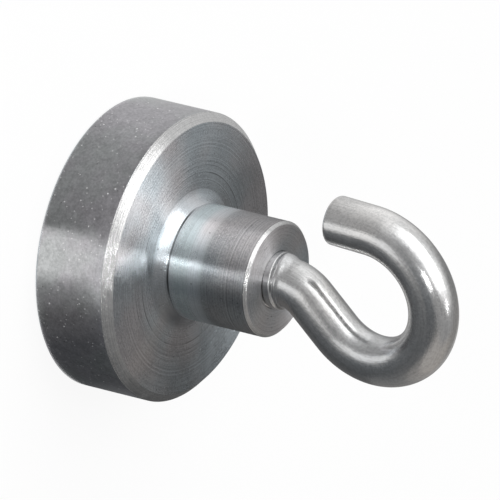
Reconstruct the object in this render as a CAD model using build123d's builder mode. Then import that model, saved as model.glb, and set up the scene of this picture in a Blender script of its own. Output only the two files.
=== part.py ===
from build123d import *
import os
from math import radians, tan

# Pot magnet with a screwed-in wire hook, in millimetres
# The pot's axis is +Z, and the magnet face is down, on the plane Z = 0.
# The hook stands up along +Z in the XZ plane, and its mouth is on the -X side.

# Pot: a cup and its boss, turned from one steel bar
pot_diameter = 20.0
pot_height = 6.0
pot_base = 2.4
pot_wall = 1.5
pot_front_chamfer = 0.6
pot_foot_chamfer = 0.2
well_mouth_chamfer = 0.15

# Boss on the pot's base
boss_diameter = 8.0
boss_length = 7.0
boss_chamfer = 0.2
boss_root_radius = 0.7

# Tapped blind bore of the boss, drawn at the thread's outside diameter
thread_diameter = 4.0
tap_drill_diameter = 3.3
drill_point_angle = 118.0
countersink_diameter = 4.2
countersink_angle = 90.0
steel_under_bore = 1.4
unthreaded_bore = 1.0

# Magnet disc and the resin ring that holds it in the well
magnet_gap = 1.0
magnet_recess = 0.1
magnet_edge = 0.2
resin_step = 0.05
resin_hollow = 0.1

# Hook: a threaded shank that runs out into bent wire
wire_diameter = 3.4
thread_play = 0.02
shank_end_gap = 0.5
shank_end_chamfer = 0.5
thread_proud = 0.3
thread_runout = 0.3
offset_bend_radius = 2.8
offset_bend_angle = 46.0
straight_run = 2.8
return_bend_radius = 4.55
return_bend_angle = 110.0
tip_bend_radius = 4.95
tip_lean = 3.0
tip_length = 2.9
tip_edge_radius = 0.3

# Sizes that follow
pot_radius = pot_diameter / 2
boss_radius = boss_diameter / 2
boss_top = pot_height + boss_length
well_depth = pot_height - pot_base
well_radius = pot_radius - pot_wall
magnet_radius = well_radius - magnet_gap
resin_level = magnet_recess + magnet_edge + resin_step
drill_point = tap_drill_diameter / 2 / tan(radians(drill_point_angle / 2))
drill_floor = well_depth + steel_under_bore + drill_point
thread_floor = drill_floor + unthreaded_bore
shank_radius = thread_diameter / 2 - thread_play
shank_end = thread_floor + shank_end_gap
shoulder_foot = boss_top + thread_proud
neck_top = shoulder_foot + thread_runout
wire_radius = wire_diameter / 2
tip_bend_angle = 180 + offset_bend_angle - return_bend_angle - tip_lean

os.makedirs("parts", exist_ok=True)

# Pot
with BuildPart() as pot:
    # Cup
    with BuildSketch():
        Circle(pot_radius)
    extrude(amount=pot_height)
    chamfer(pot.edges().group_by(Axis.Z)[-1], pot_front_chamfer)
    chamfer(pot.edges().group_by(Axis.Z)[0], pot_foot_chamfer)

    # Boss, with a rounded root on the cup's face
    with BuildSketch(Plane.XY.offset(pot_height)):
        Circle(boss_radius)
    extrude(amount=boss_length)
    fillet(pot.edges(Select.LAST).group_by(Axis.Z)[0], boss_root_radius)
    chamfer(pot.edges().group_by(Axis.Z)[-1], boss_chamfer)

    # Well for the magnet
    with BuildSketch():
        Circle(well_radius)
    extrude(amount=well_depth, mode=Mode.SUBTRACT)
    chamfer(pot.edges(Select.LAST).group_by(Axis.Z)[0], well_mouth_chamfer)

    # Tapped bore: countersink and thread, then the drilled end with its point
    with Locations((0, 0, boss_top)):
        CounterSinkHole(
            thread_diameter / 2,
            countersink_diameter / 2,
            depth=boss_top - thread_floor,
            counter_sink_angle=countersink_angle,
        )
        Hole(tap_drill_diameter / 2, depth=boss_top - drill_floor)
    with Locations((0, 0, drill_floor)):
        Cone(
            0,
            tap_drill_diameter / 2,
            drill_point,
            align=(Align.CENTER, Align.CENTER, Align.MAX),
            mode=Mode.SUBTRACT,
        )

pot.part.label = "pot"
export_step(pot.part, "parts/pot.step")

# Magnet, seated on the well's floor and set back from the rim
with BuildPart() as magnet:
    with BuildSketch(Plane.XY.offset(magnet_recess)):
        Circle(magnet_radius)
    extrude(amount=well_depth - magnet_recess)
    chamfer(magnet.edges().filter_by(GeomType.CIRCLE), magnet_edge)

magnet.part.label = "magnet"
export_step(magnet.part, "parts/magnet.step")

# Resin ring, poured between magnet and wall, with a slightly hollow face
with BuildPart() as resin_ring:
    with BuildSketch(Plane.XZ):
        with BuildLine():
            face_outer = (well_radius, resin_level)
            face_inner = (magnet_radius, resin_level)
            floor_outer = (well_radius, well_depth)
            floor_inner = (magnet_radius - magnet_edge, well_depth)
            magnet_top = (magnet_radius, well_depth - magnet_edge)
            Polyline(face_outer, floor_outer, floor_inner, magnet_top, face_inner)
            SagittaArc(face_inner, face_outer, resin_hollow)
        make_face()
    revolve(axis=Axis.Z)

resin_ring.part.label = "resin_ring"
export_step(resin_ring.part, "parts/resin_ring.step")

# Hook
with BuildPart() as hook:
    # Threaded shank, drawn at the thread's outside diameter
    with BuildSketch(Plane.XY.offset(shank_end)):
        Circle(shank_radius)
    extrude(amount=shoulder_foot - shank_end)
    chamfer(hook.edges().group_by(Axis.Z)[0], shank_end_chamfer)

    # Run-out of the thread, down to the wire
    with Locations((0, 0, shoulder_foot)):
        Cone(
            shank_radius,
            wire_radius,
            thread_runout,
            align=(Align.CENTER, Align.CENTER, Align.MIN),
        )

    # Bent wire: out to +X, straight, then back over the top and down to the tip
    with BuildLine(Plane.XZ) as centre_line:
        offset_bend = JernArc((0, neck_top), (0, 1), offset_bend_radius, -offset_bend_angle)
        run = PolarLine(offset_bend @ 1, straight_run, direction=offset_bend % 1)
        return_bend = JernArc(run @ 1, run % 1, return_bend_radius, return_bend_angle)
        tip_bend = JernArc(return_bend @ 1, return_bend % 1, tip_bend_radius, tip_bend_angle)
        tip = PolarLine(tip_bend @ 1, tip_length, direction=tip_bend % 1)
    with BuildSketch(Plane.XY.offset(neck_top)):
        Circle(wire_radius)
    sweep(path=centre_line.wire())
    end_face = hook.faces().sort_by_distance(tip @ 1)[0]
    fillet(end_face.edges(), tip_edge_radius)

hook.part.label = "hook"
export_step(hook.part, "parts/hook.step")

print("overall height", round(hook.part.bounding_box().max.Z, 3))
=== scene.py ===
import bpy
import math
import random
from mathutils import Matrix, Vector


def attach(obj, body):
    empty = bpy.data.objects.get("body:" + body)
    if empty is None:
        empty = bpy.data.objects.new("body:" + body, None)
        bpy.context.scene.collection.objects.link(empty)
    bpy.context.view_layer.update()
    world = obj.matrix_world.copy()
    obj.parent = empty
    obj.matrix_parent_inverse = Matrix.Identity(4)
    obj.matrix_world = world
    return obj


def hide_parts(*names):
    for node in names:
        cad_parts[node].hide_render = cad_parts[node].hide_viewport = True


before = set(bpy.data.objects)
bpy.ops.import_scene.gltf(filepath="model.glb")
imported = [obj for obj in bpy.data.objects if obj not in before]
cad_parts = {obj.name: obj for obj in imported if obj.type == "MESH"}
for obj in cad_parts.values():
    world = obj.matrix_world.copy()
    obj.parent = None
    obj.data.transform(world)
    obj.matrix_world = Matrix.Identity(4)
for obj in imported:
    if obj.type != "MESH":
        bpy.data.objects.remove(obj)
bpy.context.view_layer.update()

# Lengths are in millimetres up to the point where a node, mesh, lamp or camera is made
MM = 0.001

# Sizes of the turned pot
POT_RADIUS = 10.0
POT_HEIGHT = 6.0
POT_BASE = 2.4
POT_WALL = 1.5
WELL_CHAMFER = 0.15
FOOT_CHAMFER = 0.2
FRONT_CHAMFER = 0.6
BOSS_RADIUS = 4.0
BOSS_LENGTH = 7.0
BOSS_CHAMFER = 0.2
BOSS_ROOT = 0.7
BORE_RADIUS = 2.0
BORE_CHAMFER = 0.04
DRILL_RADIUS = 1.65
DRILL_TIP = 0.99
STEEL_UNDER_BORE = 1.4
UNTHREADED_BORE = 1.0

# Radii of the small arcs that break the pot's sharp edges
EDGE_BREAK = 0.04
FRONT_BREAK = 0.07

# Places on the pot that follow from its sizes
WELL_RADIUS = POT_RADIUS - POT_WALL
WELL_DEPTH = POT_HEIGHT - POT_BASE
FACE_EDGE = POT_RADIUS - FRONT_CHAMFER
ROOT_FOOT = BOSS_RADIUS + BOSS_ROOT
ROOT_TOP = POT_HEIGHT + BOSS_ROOT
BOSS_TOP = POT_HEIGHT + BOSS_LENGTH
BOSS_SHOULDER = BOSS_TOP - BOSS_CHAMFER
MOUTH_RADIUS = BORE_RADIUS + BORE_CHAMFER
DRILL_POINT = WELL_DEPTH + STEEL_UNDER_BORE
DRILL_FLOOR = DRILL_POINT + DRILL_TIP
THREAD_FLOOR = DRILL_FLOOR + UNTHREADED_BORE

# The line that the tool left round the boss, just above its root
ROOT_LINE_DEPTH = 0.04
ROOT_LINE_HEIGHT = 0.12

# The deeper tool marks: their width, for each surface how many, the shallowest and the deepest, and how
# far they stay from its outer or upper edge
MARK_SEED = 11
MARK_WIDTH = 0.07
FACE_MARKS = (26, 0.002, 0.006)
BOSS_MARKS = (22, 0.001, 0.004)
FACE_MARGIN = 0.1
BOSS_MARGIN = 0.05

# How far below the face the cut finish of the front chamfer ends
CUT_STOP = 0.02

# Steps of the pot's profile where it has tool marks and elsewhere, and sides of its mesh
MARKED_STEP = 0.05
PLAIN_STEP = 0.5
POT_SIDES = 256

# Sizes of the hook's wire, in the XZ plane, with bends as radius and angle
WIRE_RADIUS = 1.7
SHANK_GAP = 0.5
SHANK_END = THREAD_FLOOR + SHANK_GAP
THREAD_PROUD = 0.3
THREAD_RUNOUT = 0.3
NECK_TOP = BOSS_TOP + THREAD_PROUD + THREAD_RUNOUT
OFFSET_BEND = (2.8, 46.0)
STRAIGHT_RUN = 2.8
RETURN_BEND = (4.55, 110.0)
TIP_LEAN = 3.0
TIP_BEND = (4.95, 180.0 + OFFSET_BEND[1] - RETURN_BEND[1] - TIP_LEAN)
TIP_LENGTH = 2.9
TIP_EDGE = 0.3

# Radii of the rings on the tip's flat end, which keep its shading flat
TIP_RINGS = (1.1, 0.7, 0.35)

# Steps along the hook's shank and wire, and sides of its mesh
SHANK_STEP = 0.03
WIRE_STEP = 0.12
HOOK_SIDES = 128

# Thread: broad crests with a narrow groove, whose middle and half width are shares of the pitch
THREAD_PLAY = 0.02
CREST_RADIUS = BORE_RADIUS - THREAD_PLAY
GROOVE_RADIUS = 1.7
PITCH = 0.7
THREAD_PHASE = 0.1
GROOVE_MIDDLE = 0.82
GROOVE_HALF = 0.18
THREAD_FADE = (NECK_TOP - 0.1, NECK_TOP + 0.5)
SHANK_END_RADIUS = 1.5
SHANK_CHAMFER = 0.5

# Longitudes round which the boss's root has a painted highlight, with painted shade on the far side, and
# round which the line at the root has painted shade
ROOT_LIT_SIDE = -95.0
CREVICE_SHADED_SIDE = -35.0

# Heights on the boss between which the steel is fresh, cool in colour, and worn with dark lines, and
# over which the wear comes in and the steel gets duller
FRESH_BAND = (6.5, 9.6)
COOL_BAND = (6.7, 8.6)
WORN_BAND = (8.4, 12.95)
WORN_RISE = (8.4, 9.8)
DULL_RISE = (7.0, 12.8)

# Radii on the face between which it has dark arcs, and over which its tool marks get weaker outwards
ARC_BAND = (4.7, 7.6)
MARK_FADE = (5.2, 8.5)

# How much longer than wide the drawing marks along the wire are
DRAWN_STRETCH = 14.0

# Camera, at the photograph's viewing angle
VIEW_AZIMUTH = -30.6
VIEW_ELEVATION = 30.85
VIEW_ROLL = 103.61
VIEW_DISTANCE = 780.0
VIEW_TARGET = (0.0, 0.0, 11.0)
VIEW_OFFSET = (-0.21, 1.59)
LENS = 835.8
SENSOR = 36.0

# Point that the lamps face
LAMP_TARGET = (0.0, 0.0, 12.0)

# Middle of the tent's bright ceiling, as a direction
CEILING = (-0.321, 0.226, 0.920)
# Direction square to the ceiling's straight edge, towards the dark side
CEILING_EDGE = (0.956, -0.292, 0.0)
# Greys of the ceiling and of the shoulder below it
CEILING_GREY = 0.92
SHOULDER_GREY = 0.34

# Papers round the object, from the floor up: foot and rim of each, as radius and height
SKIRT = ((10.15, 0.1), (13.2, 2.8))
LOWER_COLLAR = ((13.2, 2.6), (22.0, 11.6))
UPPER_COLLAR = ((22.0, 11.6), (30.0, 19.8))
TOP_COLLAR = ((30.0, 19.8), (38.0, 28.0))

# Sizes of the tent and the floor
TENT_RADIUS = 700.0
FLOOR_RADIUS = 3000.0

# How close a coordinate is to a surface that it lies on
TOUCH = 1e-4


# Helpers for directions and objects
def heading(longitude, latitude):
    """A direction, with longitude 0 towards -Y and 90 towards +X."""
    a, e = math.radians(longitude), math.radians(latitude)
    return Vector((math.sin(a) * math.cos(e), -math.cos(a) * math.cos(e), math.sin(e)))


def new_mesh(name, verts, faces):
    mesh = bpy.data.meshes.new(name)
    mesh.from_pydata(verts, [], faces)
    return mesh


def new_object(name, data):
    """An object with that mesh, lamp or camera, in the scene."""
    made = bpy.data.objects.new(name, data)
    bpy.context.scene.collection.objects.link(made)
    return made


# Helpers for nodes
def material(name):
    """An empty node material and a function that adds nodes to it."""
    mat = bpy.data.materials.new(name)
    mat.use_nodes = True
    nodes, links = mat.node_tree.nodes, mat.node_tree.links
    nodes.clear()

    def add(kind, inputs=None, **settings):
        node = nodes.new("ShaderNode" + kind)
        for key, value in settings.items():
            setattr(node, key, value)
        for key, value in (inputs or {}).items():
            if isinstance(value, bpy.types.NodeSocket):
                links.new(value, node.inputs[key])
            else:
                node.inputs[key].default_value = value
        return node

    return mat, add


def maths(add, operation, a, b=0.0):
    return add("Math", {0: a, 1: b}, operation=operation).outputs[0]


def times(add, first, *others):
    """The product of values."""
    product = first
    for value in others:
        product = maths(add, "MULTIPLY", product, value)
    return product


def weigh(add, *terms):
    """The sum of values, each times its weight."""
    total = 0.0
    for value, weight in terms:
        total = add("Math", {0: value, 1: weight, 2: total}, operation="MULTIPLY_ADD").outputs[0]
    return total


def ramp(add, value, low, high, to_low=0.0, to_high=1.0):
    """A smooth step of value between low and high."""
    inputs = {
        "Value": value,
        "From Min": low,
        "From Max": high,
        "To Min": to_low,
        "To Max": to_high,
    }
    return add("MapRange", inputs, interpolation_type="SMOOTHSTEP").outputs["Result"]


def between(add, value, low, high, soft):
    """1 where value is between low and high, fading over a soft edge."""
    return times(add, ramp(add, value, low, low + soft), ramp(add, value, high, high - soft))


def z_part(add, vector):
    return add("SeparateXYZ", {0: vector}).outputs[2]


def cosine(add, direction, way):
    """The cosine of the angle between a direction that varies and a fixed one."""
    return add("VectorMath", {0: direction, 1: way[:]}, operation="DOT_PRODUCT").outputs["Value"]


def outward(add, place):
    """The direction from the axis to a place."""
    flat = add("VectorMath", {0: place, 1: (1.0, 1.0, 0.0)}, operation="MULTIPLY").outputs[0]
    return add("VectorMath", {0: flat}, operation="NORMALIZE").outputs[0]


def towards(add, place, longitude):
    """The cosine of the angle about the axis between a place and a longitude."""
    return cosine(add, outward(add, place), heading(longitude, 0))


def grey(value, warm=0.0):
    """An opaque grey, warmer above 0 and cooler below."""
    return (value * (1 + warm), value, value * (1 - warm), 1.0)


def blend_colour(add, factor, a, b, blend_type="MIX"):
    """Colour a where factor is 0 and b where it is 1, or b times a for the blend type MULTIPLY."""
    node = add("Mix", data_type="RGBA", blend_type=blend_type)
    for index, value in ((0, factor), (6, a), (7, b)):
        if isinstance(value, bpy.types.NodeSocket):
            node.id_data.links.new(value, node.inputs[index])
        else:
            node.inputs[index].default_value = value
    return node.outputs[2]


def paint(add, colour, mask, share, over):
    """A colour with another laid over it where the mask is 1, as strongly as the share says."""
    return blend_colour(add, times(add, mask, share), colour, over)


def profile_coordinates(add):
    """Distance along a turned surface, position, radius and height. All but the position are in
    millimetres."""
    place = add("TexCoord").outputs["Object"]
    parts = add("SeparateXYZ", {0: place})
    x_squared = maths(add, "POWER", parts.outputs[0], 2.0)
    y_squared = maths(add, "POWER", parts.outputs[1], 2.0)
    radius = maths(add, "SQRT", maths(add, "ADD", x_squared, y_squared))
    radius = times(add, radius, 1 / MM)
    height = times(add, parts.outputs[2], 1 / MM)
    return maths(add, "SUBTRACT", radius, height), place, radius, height


def noise(add, place, scale, detail=2.0, roughness=0.5):
    """Noise with about as many spots to a millimetre as the scale says."""
    inputs = {"Vector": place, "Scale": scale / MM, "Detail": detail, "Roughness": roughness}
    return add("TexNoise", inputs).outputs["Fac"]


def rings(add, along, pitch, detail=2.0):
    """Noise that changes only along a turned surface, so it draws rings."""
    inputs = {"W": maths(add, "DIVIDE", along, pitch), "Scale": 1.0, "Detail": detail, "Roughness": 0.6}
    return add("TexNoise", inputs, noise_dimensions="1D").outputs["Fac"]


def specks(add, place, scale, reach, share):
    """Small round spots that reach that share of a cell's size, in that share of the cells. A millimetre
    has as many cells as the scale says."""
    cells = add("TexVoronoi", {"Vector": place, "Scale": scale / MM, "Randomness": 1.0})
    pick = add("SeparateColor", {0: cells.outputs["Color"]}).outputs[0]
    chosen = maths(add, "LESS_THAN", pick, share)
    return times(add, ramp(add, cells.outputs["Distance"], reach, reach * 0.4), chosen)


def bumped(add, relief, strength, depth):
    """The normal of a surface with that relief."""
    return add("Bump", {"Height": relief, "Strength": strength, "Distance": depth * MM}).outputs[0]


def leaning_normal(add, place, normal, out, rise):
    """The normal tipped away from the axis, and up or down, because the flanks of tool marks lean one way."""
    lean = add("VectorMath", {0: outward(add, place), "Scale": out}, operation="SCALE").outputs[0]
    # Down where the surface faces down, and up elsewhere
    lift = ramp(add, z_part(add, normal), -0.8, -0.3, -rise, rise)
    lift = add("CombineXYZ", {2: lift}).outputs[0]
    lean = add("VectorMath", {0: lean, 1: lift}, operation="ADD").outputs[0]
    tipped = add("VectorMath", {0: normal, 1: lean}, operation="ADD").outputs[0]
    return add("VectorMath", {0: tipped}, operation="NORMALIZE").outputs[0]


def surface(add, colour, roughness, normal, more=None):
    """The material's shader, with these inputs and more, joined to its output."""
    inputs = {"Base Color": colour, "Roughness": roughness, "Normal": normal, **(more or {})}
    shader = add("BsdfPrincipled", inputs)
    add("OutputMaterial", {"Surface": shader.outputs[0]})


# Materials
def turned_steel():
    """The turned faces: broken tool marks round the axis, grain, a few pits, a cool cast, and a painted
    highlight and painted shade at the boss's root.
    """
    mat, add = material("turned_steel")
    along, place, radius, height = profile_coordinates(add)
    fine = rings(add, along, 0.035, 3.0)
    coarse = rings(add, along, 0.13)
    grain = noise(add, place, 8.0, 3.0, 0.7)
    patches = noise(add, place, 0.45, 3.0, 0.6)
    cloud = noise(add, place, 0.16)

    # Where the face, the boss's root and the boss's end are
    on_face = ramp(add, height, ROOT_TOP + 0.05, ROOT_TOP)
    by_radius = ramp(add, radius, ROOT_FOOT + 0.3, ROOT_FOOT - 0.05)
    on_root = times(add, by_radius, between(add, height, POT_HEIGHT - 0.1, ROOT_TOP + 0.1, 0.02))
    end_low, end_high = BOSS_TOP - 0.07, BOSS_TOP - 0.03
    on_end = ramp(add, height, end_low, end_high)

    # Relief: tool marks, strongest near the boss and broken by patches
    near_boss = ramp(add, radius, MARK_FADE[1], MARK_FADE[0], 0.6, 1.0)
    off_end = ramp(add, height, end_high, end_low, 0.8, 1.0)
    broken = times(add, ramp(add, patches, 0.35, 0.65, 0.5, 1.0), near_boss, off_end)
    drawn = maths(add, "SUBTRACT", weigh(add, (fine, 0.45), (coarse, 0.55)), 0.5)
    drawn = times(add, drawn, broken)
    normal = bumped(add, weigh(add, (drawn, 1.0), (patches, 0.03), (grain, 0.03)), 0.5, 0.05)

    # Steel, brighter where it is fresh and on the boss's end; on the root, a painted highlight on one side
    # and painted shade on the other
    tone = ramp(add, weigh(add, (drawn, 1.5), (grain, 1.0), (patches, 0.3)), 0.44, 0.86)
    steel = blend_colour(add, tone, grey(0.30), grey(0.58))
    steel = paint(add, steel, between(add, height, *FRESH_BAND, 0.4), 0.6, grey(0.72))
    # Painted highlight on the root's side towards the softbox, and painted shade on the far side
    root_lit_side = ramp(add, towards(add, place, ROOT_LIT_SIDE), -0.4, 0.6)
    steel = paint(add, steel, on_root, 0.6, blend_colour(add, root_lit_side, grey(0.26), grey(0.82)))
    steel = paint(add, steel, on_end, 0.3, grey(0.70, 0.02))

    # Dark lines round the worn end of the boss, and dark arcs on the face
    worn = times(add, between(add, height, *WORN_BAND, 0.04), ramp(add, height, *WORN_RISE))
    dark_lines = times(add, worn, ramp(add, fine, 0.62, 0.42, 0.2, 0.62))
    steel = blend_colour(add, dark_lines, steel, grey(0.20))
    arcs = times(add, ramp(add, coarse, 0.46, 0.34), between(add, radius, *ARC_BAND, 1.2))
    arcs = times(add, arcs, on_face, ramp(add, patches, 0.42, 0.58))
    steel = paint(add, steel, arcs, 0.75, grey(0.13))

    # Painted shade in the line at the root, on one side, broken up by noise
    crevice = between(add, height, ROOT_TOP - 0.04, ROOT_TOP + ROOT_LINE_HEIGHT + 0.02, 0.02)
    shaded_side = ramp(add, towards(add, place, CREVICE_SHADED_SIDE), 0.45, 0.85)
    broken_shade = times(add, shaded_side, ramp(add, cloud, 0.3, 0.5, 0.4, 1.0))
    steel = blend_colour(add, times(add, crevice, broken_shade), steel, grey(0.04))

    # Pits and bright specks
    steel = paint(add, steel, specks(add, place, 1.5, 0.13, 0.8), 0.6, grey(0.12))
    bright = times(add, specks(add, place, 1.9, 0.11, 0.6), 0.6)
    steel = blend_colour(add, bright, steel, grey(0.9))

    # Cool cast, strongest on the lower part of the boss
    cool, plain = (0.90, 0.99, 1.05, 1.0), (1.01, 0.98, 1.0, 1.0)
    teal = (0.87, 1.0, 1.04, 1.0)
    tint = blend_colour(add, ramp(add, cloud, 0.35, 0.65), cool, plain)
    tint = paint(add, tint, between(add, height, *COOL_BAND, 0.7), 0.8, teal)

    rough = ramp(add, weigh(add, (fine, 0.4), (patches, 0.6)), 0.2, 0.8, 0.24, 0.31)
    higher = ramp(add, height, *DULL_RISE)
    rough = weigh(add, (rough, 1.0), (higher, 0.07), (on_root, -0.04), (bright, 0.4))
    out_on_face = ramp(add, z_part(add, normal), 0.3, 0.95, 0.0, 0.70)
    out = ramp(add, on_face, 0.0, 1.0, 0.4, out_on_face)
    surface(
        add,
        blend_colour(add, 1.0, steel, tint, "MULTIPLY"),
        rough,
        leaning_normal(add, place, normal, out, 0.7),
        {
            "Metallic": 1.0,
            "Tangent": add("Tangent", direction_type="RADIAL", axis="Z").outputs[0],
            "Anisotropic": 1.0,
            "Anisotropic Rotation": 0.25,
        },
    )
    return mat


def cut_steel():
    """Chamfers, which the tool left brighter than the faces."""
    mat, add = material("cut_steel")
    along, place, _, _ = profile_coordinates(add)
    fine = rings(add, along, 0.07)
    patches = noise(add, place, 0.9, 3.0, 0.6)
    grain = noise(add, place, 5.0, 2.0, 0.6)
    normal = bumped(add, weigh(add, (times(add, fine, patches), 3.0), (grain, 0.1)), 0.5, 0.03)
    tone = ramp(add, weigh(add, (fine, 0.4), (patches, 0.3), (grain, 0.3)), 0.3, 0.7)
    steel = blend_colour(add, tone, grey(0.46), grey(0.70))
    rough = ramp(add, weigh(add, (fine, 0.5), (patches, 0.5)), 0.25, 0.75, 0.15, 0.26)
    surface(add, steel, rough, normal, {"Metallic": 1.0})
    return mat


def bar_steel():
    """The pot's side: the drawn bar's own skin, satin, mottled and full of small bright specks."""
    mat, add = material("bar_steel")
    place = add("TexCoord").outputs["Object"]
    mottle = noise(add, place, 1.5, 4.0, 0.65)
    grain = noise(add, place, 5.2, 3.0, 0.7)
    cloud = noise(add, place, 0.26, 3.0)
    small = specks(add, place, 2.6, 0.18, 0.7)
    large = specks(add, place, 1.3, 0.12, 0.6)
    pits = specks(add, place, 1.7, 0.12, 0.6)
    tone = ramp(add, weigh(add, (mottle, 0.4), (grain, 0.6)), 0.3, 0.7)
    steel = blend_colour(add, tone, grey(0.36), grey(0.56))
    cool, warm = (0.97, 1.0, 1.01, 1.0), (1.0, 0.98, 1.03, 1.0)
    tint = blend_colour(add, ramp(add, cloud, 0.38, 0.62), cool, warm)
    steel = blend_colour(add, 1.0, steel, tint, "MULTIPLY")
    steel = paint(add, steel, pits, 0.7, grey(0.12))
    relief = weigh(add, (mottle, 0.4), (grain, 0.25), (small, 0.35), (large, 0.6))
    spots = maths(add, "MAXIMUM", times(add, small, 0.7), large)
    steel = blend_colour(add, spots, steel, grey(0.95))
    rough = weigh(add, (ramp(add, mottle, 0.2, 0.8, 0.28, 0.36), 1.0), (spots, 0.5))
    surface(add, steel, rough, bumped(add, relief, 0.6, 0.03), {"Metallic": 1.0})
    return mat


def bright_zinc():
    """The hook's plating: satin bright, with drawing grain and faint waves."""
    mat, add = material("bright_zinc")
    place = add("TexCoord").outputs["Object"]
    wire = add("Attribute", attribute_name="wire").outputs["Vector"]
    peel = noise(add, place, 0.7, 3.0, 0.55)
    grain = noise(add, place, 5.2, 3.0, 0.65)
    cloud = noise(add, place, 0.2)
    drawn = noise(add, wire, 9.0, 2.0, 0.6)
    normal = bumped(add, weigh(add, (peel, 0.9), (grain, 0.6), (drawn, 0.35)), 0.4, 0.03)
    base = blend_colour(add, ramp(add, cloud, 0.3, 0.7), grey(0.66, -0.015), grey(0.74, 0.015))
    dull = ramp(add, weigh(add, (grain, 0.6), (drawn, 0.4)), 0.6, 0.35, 0.0, 0.55)
    colour = blend_colour(add, dull, base, grey(0.48))
    rough = ramp(add, weigh(add, (peel, 0.6), (grain, 0.4)), 0.3, 0.7, 0.17, 0.27)
    surface(add, colour, rough, normal, {"Metallic": 1.0})
    return mat


def nickel_plate():
    """The magnet's plating, slightly warm and faintly uneven."""
    mat, add = material("nickel_plate")
    place = add("TexCoord").outputs["Object"]
    peel = noise(add, place, 0.9, 3.0)
    colour = blend_colour(add, peel, grey(0.58, 0.03), grey(0.68, 0.04))
    rough = ramp(add, peel, 0.2, 0.8, 0.2, 0.34)
    surface(add, colour, rough, bumped(add, peel, 0.2, 0.03), {"Metallic": 1.0})
    return mat


def cast_resin():
    """The black potting round the magnet, with a fine grain."""
    mat, add = material("cast_resin")
    place = add("TexCoord").outputs["Object"]
    grain = noise(add, place, 1.5, 3.0)
    colour = blend_colour(add, grain, grey(0.012), grey(0.03))
    rough = ramp(add, grain, 0.2, 0.8, 0.3, 0.5)
    surface(add, colour, rough, bumped(add, grain, 0.3, 0.05))
    return mat


# Turned pot
def pot_profile():
    """Corners of the pot's half section, from the well to the bore: radius, height and the radius that
    breaks the corner."""
    well = [
        (0, WELL_DEPTH, 0),
        (WELL_RADIUS, WELL_DEPTH, 0),
        (WELL_RADIUS, WELL_CHAMFER, EDGE_BREAK),
        (WELL_RADIUS + WELL_CHAMFER, 0, EDGE_BREAK),
    ]
    cup = [
        (POT_RADIUS - FOOT_CHAMFER, 0, EDGE_BREAK),
        (POT_RADIUS, FOOT_CHAMFER, EDGE_BREAK),
        (POT_RADIUS, POT_HEIGHT - FRONT_CHAMFER, FRONT_BREAK),
        (FACE_EDGE, POT_HEIGHT, FRONT_BREAK),
    ]
    steps = 12
    root = []
    for k in range(steps + 1):
        turn = math.radians(90 * k / steps)
        root.append((ROOT_FOOT - BOSS_ROOT * math.sin(turn), ROOT_TOP - BOSS_ROOT * math.cos(turn), 0))
    root_line = [
        (BOSS_RADIUS - ROOT_LINE_DEPTH, ROOT_TOP + ROOT_LINE_HEIGHT / 2, 0),
        (BOSS_RADIUS, ROOT_TOP + ROOT_LINE_HEIGHT, 0),
    ]
    end = [
        (BOSS_RADIUS, BOSS_SHOULDER, EDGE_BREAK),
        (BOSS_RADIUS - BOSS_CHAMFER, BOSS_TOP, EDGE_BREAK),
        (MOUTH_RADIUS, BOSS_TOP, EDGE_BREAK),
        (BORE_RADIUS, BOSS_TOP - BORE_CHAMFER, EDGE_BREAK),
    ]
    bore = [
        (BORE_RADIUS, THREAD_FLOOR, 0),
        (DRILL_RADIUS, THREAD_FLOOR, 0),
        (DRILL_RADIUS, DRILL_FLOOR, 0),
        (0, DRILL_POINT, 0),
    ]
    return well + cup + root + root_line + end + bore


def round_corner(before, corner, after, radius, steps=5):
    """Points of the small arc that breaks a corner of the profile."""
    u, v = (before - corner).normalized(), (after - corner).normalized()
    half = u.angle(v) / 2
    reach = radius / math.tan(half)
    centre = corner + (u + v).normalized() * (radius / math.sin(half))
    start, end = corner + u * reach - centre, corner + v * reach - centre
    sweep = start.angle_signed(end)
    return [centre + Matrix.Rotation(-sweep * k / steps, 2) @ start for k in range(steps + 1)]


def break_corners(profile):
    """The profile's points, with an arc in place of each corner that has a break."""
    corners = [Vector((radius, height)) for radius, height, _ in profile]
    points = [corners[0]]
    for before, corner, after, (_, _, radius) in zip(corners, corners[1:], corners[2:], profile[1:]):
        points += round_corner(before, corner, after, radius) if radius else [corner]
    return points + [corners[-1]]


def is_marked(r, z):
    """Whether a point of the profile is on the turned face, and whether it is on the side of the boss."""
    on_face = abs(z - POT_HEIGHT) < TOUCH and ROOT_FOOT < r < FACE_EDGE - FACE_MARGIN
    on_boss = abs(r - BOSS_RADIUS) < TOUCH and ROOT_TOP < z < BOSS_SHOULDER - BOSS_MARGIN
    return on_face, on_boss


def divide(points):
    """The same polyline with short sides where the tool marks are, and longer ones elsewhere."""
    out = [points[0]]
    for a, b in zip(points, points[1:]):
        step = MARKED_STEP if any(is_marked(*a.lerp(b, 0.5))) else PLAIN_STEP
        count = max(1, math.ceil((b - a).length / step))
        out += [a.lerp(b, k / count) for k in range(1, count + 1)]
    return out


def draw_marks(rng, low, high, count, shallow, deep):
    """Places between low and high and depths of the tool marks on a surface."""
    return [(rng.uniform(low, high), rng.uniform(shallow, deep)) for _ in range(count)]


def mark_depth(place, marks):
    """How deep the tool marks are at a place, each with a smooth round section."""
    return sum(depth * math.exp(-((place - middle) / MARK_WIDTH) ** 2) for middle, depth in marks)


def finish_at(point):
    """Index of the material from this point of the profile to the next: turned, bar skin or cut."""
    r, z = point
    if abs(r - POT_RADIUS) < TOUCH:
        return 1
    near_rim = r > POT_RADIUS - 2 * FRONT_CHAMFER
    on_front = near_rim and POT_HEIGHT - FRONT_CHAMFER < z < POT_HEIGHT - CUT_STOP
    on_end = BOSS_SHOULDER < z < BOSS_TOP and r > MOUTH_RADIUS
    return 2 if on_front or on_end else 0


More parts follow.
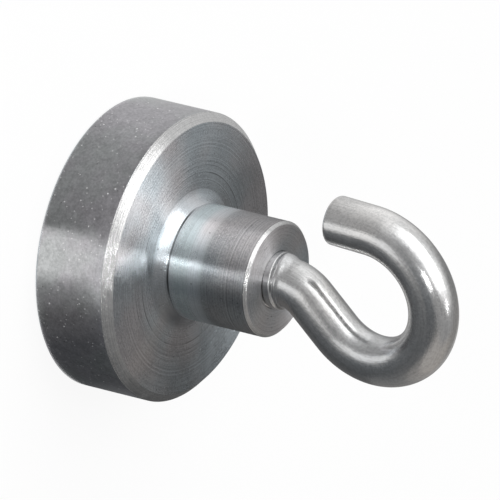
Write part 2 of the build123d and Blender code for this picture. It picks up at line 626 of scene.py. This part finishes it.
def lathe(name, points, finishes):
    """A closed mesh turned about Z, with one material index for each stretch of the profile."""
    verts, faces, indices, rows = [], [], [], []
    for r, z in points:
        if r < TOUCH:
            rows.append([len(verts)] * POT_SIDES)
            verts.append((0.0, 0.0, z * MM))
            continue
        rows.append(list(range(len(verts), len(verts) + POT_SIDES)))
        for k in range(POT_SIDES):
            turn = 2 * math.pi * k / POT_SIDES
            verts.append((r * MM * math.cos(turn), r * MM * math.sin(turn), z * MM))
    for row, above, finish in zip(rows, rows[1:], finishes):
        for k in range(POT_SIDES):
            n = (k + 1) % POT_SIDES
            # On the axis a row is one point, so the faces there are triangles
            faces.append(list(dict.fromkeys([row[k], row[n], above[n], above[k]])))
            indices.append(finish)
    mesh = new_mesh(name, verts, faces)
    mesh.polygons.foreach_set("material_index", indices)
    mesh.polygons.foreach_set("use_smooth", [True] * len(faces))
    mesh.update()
    return new_object(name, mesh)


def make_pot():
    """The pot with its boss and bore, and the deeper tool marks as shallow waves of its profile."""
    rng = random.Random(MARK_SEED)
    face_marks = draw_marks(rng, ROOT_FOOT, FACE_EDGE, *FACE_MARKS)
    boss_marks = draw_marks(rng, ROOT_TOP, BOSS_SHOULDER, *BOSS_MARKS)
    points, finishes = [], []
    for point in divide(break_corners(pot_profile())):
        r, z = point
        on_face, on_boss = is_marked(r, z)
        if on_face:
            z -= mark_depth(r, face_marks)
        if on_boss:
            r -= mark_depth(z, boss_marks)
        points.append((r, z))
        finishes.append(finish_at(point))
    piece = lathe("pot_turned", points, finishes)
    piece.data.materials.append(turned_steel())
    piece.data.materials.append(bar_steel())
    piece.data.materials.append(cut_steel())
    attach(piece, "root")
    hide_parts("pot")


# Hook
def hook_path():
    """Points along the hook's centre line as (x, z, lean), with the lean in radians from +Z towards +X."""
    x, z, lean = 0.0, SHANK_END, 0.0
    path = [(x, z, lean)]

    def run(length, step):
        nonlocal x, z
        count = math.ceil(length / step)
        for _ in range(count):
            x += math.sin(lean) * length / count
            z += math.cos(lean) * length / count
            path.append((x, z, lean))

    def turn(radius, degrees, side):
        nonlocal x, z, lean
        angle = math.radians(degrees)
        cx, cz = x + side * radius * math.cos(lean), z - side * radius * math.sin(lean)
        count = math.ceil(radius * angle / WIRE_STEP)
        start = lean
        for k in range(1, count + 1):
            lean = start + side * angle * k / count
            x, z = cx - side * radius * math.cos(lean), cz + side * radius * math.sin(lean)
            path.append((x, z, lean))

    run(NECK_TOP - SHANK_END, SHANK_STEP)
    turn(*OFFSET_BEND, 1)
    run(STRAIGHT_RUN, WIRE_STEP)
    turn(*RETURN_BEND, -1)
    turn(*TIP_BEND, -1)
    run(TIP_LENGTH, WIRE_STEP)
    return path


def share_of(value, low, high):
    """How far value is from low to high, from 0 to 1."""
    return min(max((value - low) / (high - low), 0.0), 1.0)


def smooth(share):
    return share * share * (3 - 2 * share)


def shank_radius(height, turn):
    """The radius at a height and an angle about the shank: rolled crests that fade into the wire."""
    phase = (height / PITCH - turn / (2 * math.pi) + THREAD_PHASE) % 1.0
    groove = max(0.0, 1 - abs(phase - GROOVE_MIDDLE) / GROOVE_HALF)
    thread = CREST_RADIUS - (CREST_RADIUS - GROOVE_RADIUS) * smooth(groove)
    past_chamfer = share_of(height, SHANK_END, SHANK_END + SHANK_CHAMFER)
    thread = SHANK_END_RADIUS + (thread - SHANK_END_RADIUS) * past_chamfer
    return thread + (WIRE_RADIUS - thread) * smooth(share_of(height, *THREAD_FADE))


def hook_rings():
    """Rings along the hook: place and lean, distance along it, and radius, or None where the shank and the
    wire give it."""
    path = hook_path()
    stations = []
    distance = 0.0
    for before, (x, z, lean) in zip(path[:1] + path, path):
        distance += math.hypot(x - before[0], z - before[1])
        stations.append((x, z, lean, distance, None))
    stations = [station for station in stations if distance - station[3] >= TIP_EDGE]

    # Rounded edge of the tip, and rings on its flat end
    x, z, lean = path[-1]
    for degrees in range(0, 91, 10):
        turn = math.radians(degrees)
        back = TIP_EDGE * (1 - math.sin(turn))
        radius = WIRE_RADIUS - TIP_EDGE * (1 - math.cos(turn))
        stations.append((x - math.sin(lean) * back, z - math.cos(lean) * back, lean, distance, radius))
    for radius in TIP_RINGS:
        stations.append((x, z, lean, distance, radius))
    return stations


def make_hook():
    """The hook as one closed skin, which also carries each point's place in the unbent wire."""
    verts, faces, unbent = [], [], []
    stations = hook_rings()
    for x, z, lean, distance, radius in stations:
        side = Vector((math.cos(lean), 0, -math.sin(lean)))
        for k in range(HOOK_SIDES):
            turn = 2 * math.pi * k / HOOK_SIDES
            r = radius or shank_radius(SHANK_END + distance, turn)
            p = Vector((x, 0, z)) + r * (math.cos(turn) * side + math.sin(turn) * Vector((0, 1, 0)))
            verts.append(p * MM)
            unbent += [r * MM * math.cos(turn), r * MM * math.sin(turn), distance * MM / DRAWN_STRETCH]
    last = (len(stations) - 1) * HOOK_SIDES
    for row in range(0, last, HOOK_SIDES):
        above = row + HOOK_SIDES
        for k in range(HOOK_SIDES):
            n = (k + 1) % HOOK_SIDES
            faces.append((row + k, row + n, above + n, above + k))
    faces.append([last + k for k in range(HOOK_SIDES)])
    faces.append(list(reversed(range(HOOK_SIDES))))
    mesh = new_mesh("hook_wire_threaded", verts, faces)
    mesh.attributes.new("wire", "FLOAT_VECTOR", "POINT").data.foreach_set("vector", unbent)
    mesh.polygons.foreach_set("use_smooth", [True] * len(faces))
    mesh.update()
    piece = new_object("hook_wire_threaded", mesh)
    piece.data.materials.append(bright_zinc())
    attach(piece, "root")
    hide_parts("hook")


# Camera
def view_axes(azimuth, elevation, roll):
    """The camera's right, up and back directions."""
    t = math.radians(roll)
    back = heading(azimuth, elevation)
    right = heading(azimuth + 90, 0)
    up = back.cross(right)
    return math.cos(t) * right + math.sin(t) * up, math.cos(t) * up - math.sin(t) * right, back


def make_camera():
    """The camera, turned so that the target stands off the middle of the picture by the offset."""
    right, up, back = view_axes(VIEW_AZIMUTH, VIEW_ELEVATION, VIEW_ROLL)
    place = Vector(VIEW_TARGET) + back * VIEW_DISTANCE
    target = Vector(VIEW_TARGET) + right * VIEW_OFFSET[0] + up * VIEW_OFFSET[1]
    back = (place - target).normalized()
    right = up.cross(back).normalized()
    up = back.cross(right)
    data = bpy.data.cameras.new("camera")
    data.sensor_width = SENSOR
    data.lens = LENS
    data.clip_start, data.clip_end = 0.01, 10.0
    camera = new_object("camera", data)
    rotation = Matrix((right, up, back)).transposed().to_4x4()
    camera.matrix_world = Matrix.Translation(place * MM) @ rotation
    bpy.context.scene.camera = camera


# Light
def softbox(name, direction, distance, width, height, strength, shape="RECTANGLE"):
    """An area lamp in that direction from the object, facing it. Its strength is the radiance it shows."""
    data = bpy.data.lights.new(name, "AREA")
    data.shape = shape
    data.size = width * MM
    data.size_y = height * MM
    area = data.size * data.size_y * (math.pi / 4 if shape == "DISK" else 1)
    data.energy = strength * math.pi * area
    lamp = new_object(name, data)
    lamp.location = (Vector(LAMP_TARGET) + direction * distance) * MM
    lamp.rotation_mode = "QUATERNION"
    lamp.rotation_quaternion = direction.to_track_quat("Z", "X")


def make_lights():
    """A large softbox with a brighter core, and two small hard lamps for the highlights."""
    softbox("side_softbox", heading(-92, 49), distance=330, width=520, height=350, strength=0.8)
    softbox("side_softbox_core", heading(-97, 51), distance=325, width=400, height=230, strength=1.2)
    softbox("front_lamp", heading(-17, 45), distance=500, width=70, height=70, strength=24.0, shape="DISK")
    softbox("top_lamp", heading(129, 75), distance=500, width=12, height=12, strength=230.0, shape="DISK")


def tent_cloth(name, tones, with_ceiling=False):
    """A card that glows by itself. Tones go round the object, each a longitude from -90 to 270, a grey
    and a warmth."""
    mat, add = material(name)
    place = add("TexCoord").outputs["Object"]
    around = add("TexGradient", {"Vector": place}, gradient_type="RADIAL").outputs["Fac"]
    ring = add("ValToRGB", {0: around})
    points = ring.color_ramp.elements
    while len(points) < len(tones):
        points.new(0.5)
    # The gradient starts at -X, which is longitude -90, and passes -Y on its way round
    for point, (longitude, tone, warmth) in zip(points, tones):
        point.position = (longitude + 90) / 360
        point.color = grey(tone, warmth)
    colour = ring.outputs[0]
    if with_ceiling:
        unit = add("VectorMath", {0: place}, operation="NORMALIZE").outputs[0]
        on_shoulder = ramp(add, z_part(add, unit), 0.55, 0.75)
        colour = blend_colour(add, on_shoulder, colour, grey(SHOULDER_GREY))
        near_ceiling = ramp(add, cosine(add, unit, CEILING), 0.72, 0.95)
        inside_edge = ramp(add, cosine(add, unit, CEILING_EDGE), 0.24, 0.18)
        colour = blend_colour(add, times(add, near_ceiling, inside_edge), colour, grey(CEILING_GREY))
    glow = add("Emission", {"Color": colour})
    add("OutputMaterial", {"Surface": glow.outputs[0]})
    return mat


def stage_mesh(name, verts, faces, mat):
    """A mesh that lights the object and shows in its reflections, unseen by the camera."""
    mesh = new_mesh(name, [v[:] for v in verts], faces)
    mesh.materials.append(mat)
    obj = new_object(name, mesh)
    obj.visible_camera = False
    obj.visible_shadow = False
    return obj


def make_dome():
    """A light tent, unseen by the camera: brightest round the -X side, and darkest between -Y and +X."""
    around, up = 48, 12
    verts, faces = [], []
    for j in range(up):
        verts += [heading(360 * k / around, 90 * j / up) * TENT_RADIUS * MM for k in range(around)]
    top = (up - 1) * around
    for row in range(0, top, around):
        above = row + around
        for k in range(around):
            n = (k + 1) % around
            faces.append((row + k, above + k, above + n, row + n))
    verts.append(Vector((0, 0, TENT_RADIUS * MM)))
    faces += [(top + k, len(verts) - 1, top + (k + 1) % around) for k in range(around)]
    tones = [
        (-90, 0.8, 0.0),
        (-60, 0.72, 0.0),
        (-45, 0.52, 0.0),
        (-28, 0.30, 0.0),
        (0, 0.25, -0.04),
        (22, 0.12, -0.06),
        (43, 0.12, -0.05),
        (52, 0.45, 0.05),
        (112, 0.43, 0.07),
        (130, 0.30, 0.04),
        (165, 0.27, 0.0),
        (182, 0.28, 0.0),
        (200, 0.55, 0.0),
        (215, 0.88, 0.0),
        (270, 0.8, 0.0),
    ]
    stage_mesh("light_tent", verts, faces, tent_cloth("tent_cloth", tones, with_ceiling=True))


def make_collar(name, foot, rim, tones):
    """A paper cone round the object, seen only in its reflections. Foot and rim are radius and height."""
    around = 72
    verts, faces = [], []
    for k in range(around):
        edge = heading(360 * k / around, 0)
        verts += [(edge * radius + Vector((0, 0, height))) * MM for radius, height in (foot, rim)]
        n = (k + 1) % around
        faces.append((2 * k, 2 * n, 2 * n + 1, 2 * k + 1))
    collar = stage_mesh(name, verts, faces, tent_cloth(name + "_paper", tones))
    collar.visible_diffuse = False


def make_collars():
    """Four paper cones, each above the last, which the pot, the boss and the hook reflect."""
    skirt = [
        (-90, 0.70, 0.0),
        (-75, 0.50, 0.0),
        (-57, 0.42, 0.0),
        (-40, 0.34, 0.0),
        (-31, 0.32, 0.0),
        (-27, 1.1, 0.01),
        (-12, 1.1, 0.01),
        (-5, 0.40, 0.0),
        (8, 0.16, 0.0),
        (25, 0.09, -0.05),
        (55, 0.08, -0.05),
        (80, 0.20, -0.02),
        (112, 0.25, 0.0),
        (124, 0.9, 0.0),
        (142, 0.9, 0.0),
        (156, 0.3, 0.0),
        (185, 0.25, 0.0),
        (205, 0.55, 0.0),
        (220, 0.62, 0.0),
        (245, 0.72, 0.0),
        (270, 0.70, 0.0),
    ]
    lower = [
        (-90, 0.5, 0.0),
        (-75, 0.38, 0.0),
        (-45, 0.42, 0.0),
        (-29, 0.45, 0.0),
        (-25, 1.1, 0.0),
        (-3, 1.0, 0.0),
        (1, 0.5, 0.0),
        (12, 0.16, -0.05),
        (60, 0.09, -0.04),
        (108, 0.13, 0.0),
        (140, 0.34, 0.0),
        (170, 0.30, 0.0),
        (200, 0.62, 0.0),
        (214, 0.74, 0.0),
        (240, 0.7, 0.0),
        (270, 0.5, 0.0),
    ]
    upper = [
        (-90, 0.78, 0.0),
        (-70, 0.55, 0.0),
        (-45, 0.38, 0.0),
        (-29, 0.38, 0.0),
        (-25, 1.05, 0.0),
        (-3, 1.0, 0.0),
        (1, 0.4, 0.0),
        (22, 0.13, -0.05),
        (45, 0.13, -0.03),
        (75, 0.20, 0.0),
        (115, 0.24, 0.02),
        (145, 0.40, 0.02),
        (170, 0.26, 0.0),
        (184, 0.28, 0.0),
        (198, 0.6, 0.0),
        (215, 0.95, 0.0),
        (236, 1.2, 0.0),
        (270, 0.78, 0.0),
    ]
    top = [
        (-90, 1.1, 0.0),
        (-70, 0.85, 0.0),
        (-50, 0.5, 0.0),
        (-30, 0.38, 0.0),
        (-8, 0.42, 0.0),
        (8, 0.26, 0.0),
        (24, 0.13, -0.05),
        (44, 0.14, -0.03),
        (56, 0.26, 0.03),
        (110, 0.34, 0.03),
        (145, 0.5, 0.02),
        (165, 0.27, 0.0),
        (182, 0.28, 0.0),
        (196, 0.6, 0.0),
        (215, 0.92, 0.0),
        (240, 1.0, 0.0),
        (270, 1.1, 0.0),
    ]
    make_collar("paper_skirt", *SKIRT, skirt)
    make_collar("paper_collar_lower", *LOWER_COLLAR, lower)
    make_collar("paper_collar_upper", *UPPER_COLLAR, upper)
    make_collar("paper_collar_top", *TOP_COLLAR, top)


def make_world():
    """A plain white surrounding."""
    world = bpy.data.worlds.new("white_room")
    bpy.context.scene.world = world
    world.use_nodes = True
    background = world.node_tree.nodes["Background"]
    background.inputs["Color"].default_value = grey(1.0)
    background.inputs["Strength"].default_value = 1.0


def make_floor():
    """A round white floor that keeps the object's shadow."""
    sides = 96
    verts = []
    for k in range(sides):
        turn = 2 * math.pi * k / sides
        verts.append((FLOOR_RADIUS * MM * math.cos(turn), FLOOR_RADIUS * MM * math.sin(turn), 0.0))
    floor = new_object("floor", new_mesh("floor", verts, [list(range(sides))]))
    mat, add = material("floor_white")
    lit = add("BsdfDiffuse", {"Color": grey(0.9)})
    glow = add("Emission", {"Color": grey(1.0), "Strength": 1.0})
    path = add("LightPath")
    seen = maths(add, "MAXIMUM", path.outputs["Is Camera Ray"], path.outputs["Is Glossy Ray"])
    seen = maths(add, "MAXIMUM", seen, path.outputs["Is Transmission Ray"])
    mix = add("MixShader", {0: times(add, seen, 0.9), 1: lit.outputs[0], 2: glow.outputs[0]})
    add("OutputMaterial", {"Surface": mix.outputs[0]})
    floor.data.materials.append(mat)


make_camera()
make_pot()
make_hook()
for node, finish in (("magnet", nickel_plate()), ("resin_ring", cast_resin())):
    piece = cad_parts[node]
    piece.data.materials.clear()
    piece.data.materials.append(finish)
make_world()
make_lights()
make_dome()
make_collars()
make_floor()
bpy.context.scene.view_settings.view_transform = "Standard"
